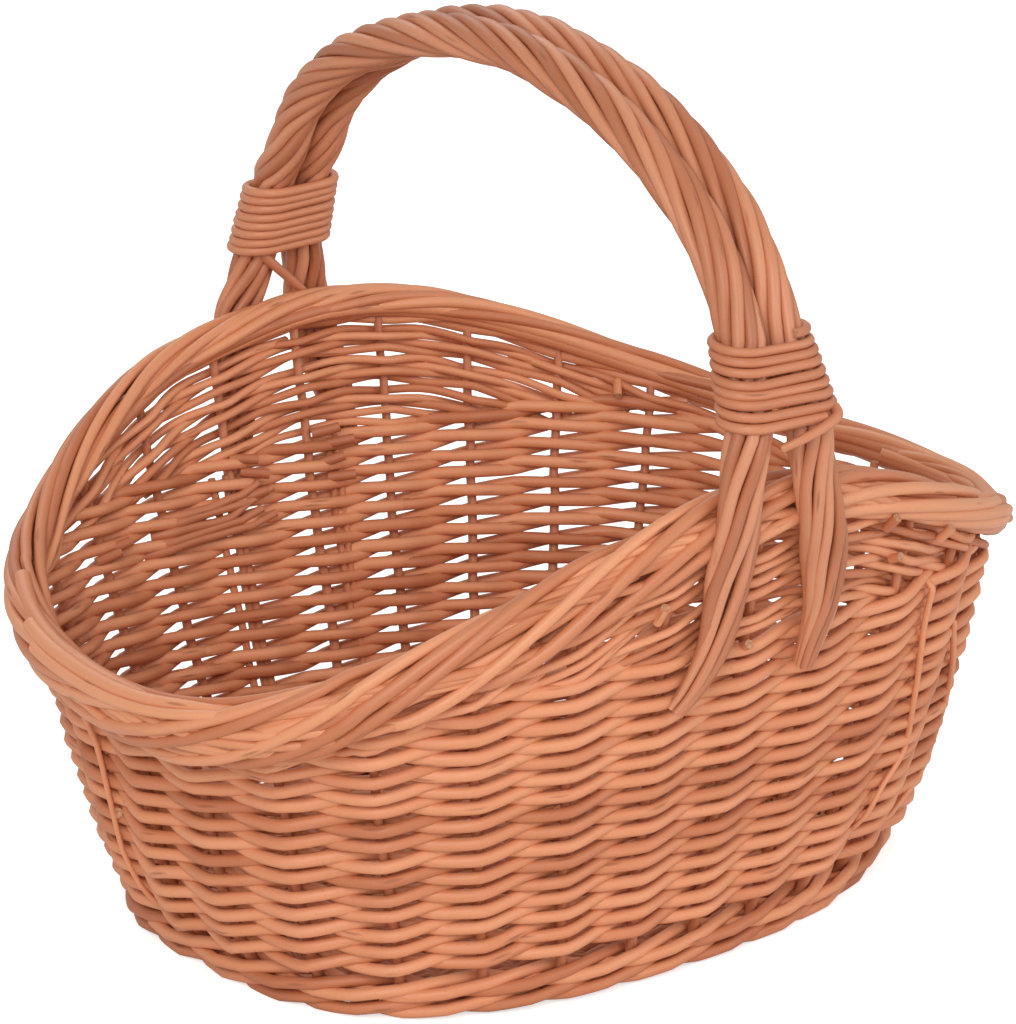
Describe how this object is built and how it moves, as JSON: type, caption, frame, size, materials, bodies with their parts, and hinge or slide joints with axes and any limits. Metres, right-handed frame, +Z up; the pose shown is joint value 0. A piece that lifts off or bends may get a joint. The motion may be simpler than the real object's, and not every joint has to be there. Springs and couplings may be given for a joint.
{
  "type": "foraging basket",
  "caption": "Oval woven willow basket with a saddle-shaped rolled rim and one twisted bow handle across its width, for gathering mushrooms.",
  "frame": {"origin": "centre of the base's underside, on the surface that the basket stands on", "axes": "+Z up, +X along the basket's length, +Y across it in the plane of the handle"},
  "size_m": [0.4256, 0.3714, 0.3765],
  "materials": {
    "base": "dry woven willow, dark",
    "stake": "satin buff willow rod",
    "weaver": "satin buff willow rod",
    "border": "satin buff willow rods, rolled",
    "handle": "satin buff willow rods, twisted",
    "binding": "satin buff willow rod"
  },
  "bodies": {
    "root": {"base_panel": "base", "cross_stick_1": "base", "cross_stick_2": "base", "cross_stick_3": "base", "cross_stick_4": "base", "cross_stick_5": "base", "long_stick_1": "base", "long_stick_2": "base", "long_stick_3": "base", "stake_01": "stake", "stake_02": "stake", "stake_03": "stake", "stake_04": "stake", "stake_05": "stake", "stake_06": "stake", "stake_07": "stake", "stake_08": "stake", "stake_09": "stake", "stake_10": "stake", "stake_11": "stake", "stake_12": "stake", "stake_13": "stake", "stake_14": "stake", "stake_15": "stake", "stake_16": "stake", "stake_17": "stake", "stake_18": "stake", "stake_19": "stake", "stake_20": "stake", "stake_21": "stake", "stake_22": "stake", "stake_23": "stake", "stake_24": "stake", "stake_25": "stake", "stake_26": "stake", "stake_27": "stake", "stake_28": "stake", "foot_rod_lower": "stake", "foot_rod_upper": "stake", "side_weaver_first": "weaver", "side_weaver_second": "weaver", "packing_rod_near": "weaver", "packing_rod_far": "weaver", "border": "border", "handle_rope_left": "handle", "handle_rope_right": "handle", "binding_near": "binding", "binding_far": "binding"}
  },
  "joints": []
}
